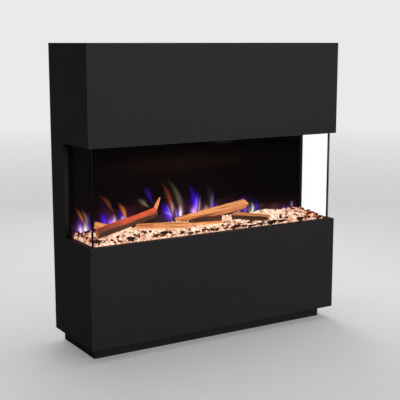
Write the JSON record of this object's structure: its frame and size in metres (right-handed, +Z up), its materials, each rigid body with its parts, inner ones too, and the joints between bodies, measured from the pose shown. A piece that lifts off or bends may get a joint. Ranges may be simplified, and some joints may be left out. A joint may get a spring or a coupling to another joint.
{
  "type": "electric fireplace",
  "caption": "Free-standing tall black cabinet with a glass-fronted three-sided window in its middle, holding a lit bed of crystals and imitation logs, on a recessed plinth.",
  "frame": {"origin": "middle of the footprint, on the floor", "axes": "+X to the right seen from the front, +Y to the back, +Z up"},
  "size_m": [1.1, 0.333, 1.139],
  "materials": {
    "cabinet_front": "matt black lacquer on board",
    "cabinet_side": "matt black lacquer on board",
    "plinth_black": "matt black lacquer on board",
    "pine": "sawn",
    "hardboard": "smooth brown board",
    "zinc_screw": "zinc plated",
    "black_steel": "fine black powder coat",
    "galvanised_steel": "galvanised",
    "bright_steel": "bright",
    "black_plastic": "fine texture",
    "button_plastic": "satin",
    "clear_glass": "clear toughened",
    "smoked_mirror": "smoked part mirror",
    "opal_plastic": "translucent opal",
    "rubber_seal": "black strip",
    "white_nylon": "moulded",
    "motor_body": "plated can",
    "circuit_board": "green solder mask",
    "fuel_crystal": "crushed, lit from below",
    "ember_bark": "cast resin",
    "log_bark": "cast resin, painted bark",
    "log_glow": "cast translucent resin, lit from below",
    "lens_red": "dark red lens",
    "element_ceramic": "finned ceramic"
  },
  "bodies": {
    "cabinet": {"left_side_panel": "cabinet_side", "right_side_panel": "cabinet_side", "lower_front_panel": "cabinet_front", "upper_front_panel": "cabinet_front", "top_panel": "cabinet_front", "bottom_panel": "cabinet_side", "insert_shelf": "cabinet_side", "battens": "pine", "lower_back_panel": "hardboard", "upper_back_panel": "hardboard", "plinth_front": "plinth_black", "plinth_back": "plinth_black", "plinth_sides": "plinth_black", "panel_screws": "zinc_screw", "wall_brackets": "black_steel", "cable_gland": "black_plastic", "base_tray": "black_steel", "back_casing": "black_steel", "top_housing": "black_steel", "lower_glass_channel": "black_steel", "upper_glass_channel": "black_steel", "left_glass": "clear_glass", "right_glass": "clear_glass", "corner_seals": "rubber_seal", "flame_screen": "smoked_mirror", "flame_diffuser": "opal_plastic", "screen_rails": "black_steel", "flame_plate": "galvanised_steel", "rotor_brackets": "galvanised_steel", "rotor_bush": "white_nylon", "flame_motor": "motor_body", "flame_led_board": "circuit_board", "bed_tray": "opal_plastic", "bed_led_boards": "circuit_board", "fuel_crystals": "fuel_crystal", "ember_chips": "ember_bark", "log_left_long": "log_bark", "log_left_stub": "log_glow", "log_left_split": "log_glow", "log_left_tip": "log_glow", "log_right_split": "log_glow", "log_right_rear": "log_bark", "log_right_bark": "log_bark", "log_right_strip": "log_glow", "receiver_window": "lens_red", "heater_housing": "galvanised_steel", "heating_element": "element_ceramic", "blower_motor": "motor_body", "outlet_grille": "black_plastic", "control_board": "circuit_board", "control_panel": "black_plastic", "button_board": "circuit_board"},
    "front_glass": {"front_glass": "clear_glass"},
    "flame_rotor": {"rotor_rod": "bright_steel", "rotor_vanes": "bright_steel"},
    "blower": {"blower_impeller": "bright_steel"},
    "rocker": {"power_rocker": "black_plastic"},
    "flame_key": {"flame_button": "button_plastic"},
    "heat_key": {"heat_button": "button_plastic"},
    "timer_key": {"timer_button": "button_plastic"}
  },
  "joints": [
    {"name": "front_glass_lift", "type": "slide", "parent": "cabinet", "child": "front_glass", "axis": [0, 0, 1], "range_m": [0, 0.016]},
    {"name": "flame_rotor_spin", "type": "hinge", "parent": "cabinet", "child": "flame_rotor", "pos_m": [0, 0.109, 0.3935], "axis": [1, 0, 0], "continuous": true},
    {"name": "blower_spin", "type": "hinge", "parent": "cabinet", "child": "blower", "pos_m": [0, 0.008, 1.031], "axis": [1, 0, 0], "continuous": true},
    {"name": "rocker_tilt", "type": "hinge", "parent": "cabinet", "child": "rocker", "pos_m": [0.385, 0.0815, 1.135], "axis": [1, 0, 0], "range_deg": [0, 18]},
    {"name": "flame_key_press", "type": "slide", "parent": "cabinet", "child": "flame_key", "axis": [0, 0, -1], "range_m": [0, 0.0012], "stiffness_N_per_m": 300},
    {"name": "heat_key_press", "type": "slide", "parent": "cabinet", "child": "heat_key", "axis": [0, 0, -1], "range_m": [0, 0.0012], "stiffness_N_per_m": 300},
    {"name": "timer_key_press", "type": "slide", "parent": "cabinet", "child": "timer_key", "axis": [0, 0, -1], "range_m": [0, 0.0012], "stiffness_N_per_m": 300}
  ]
}
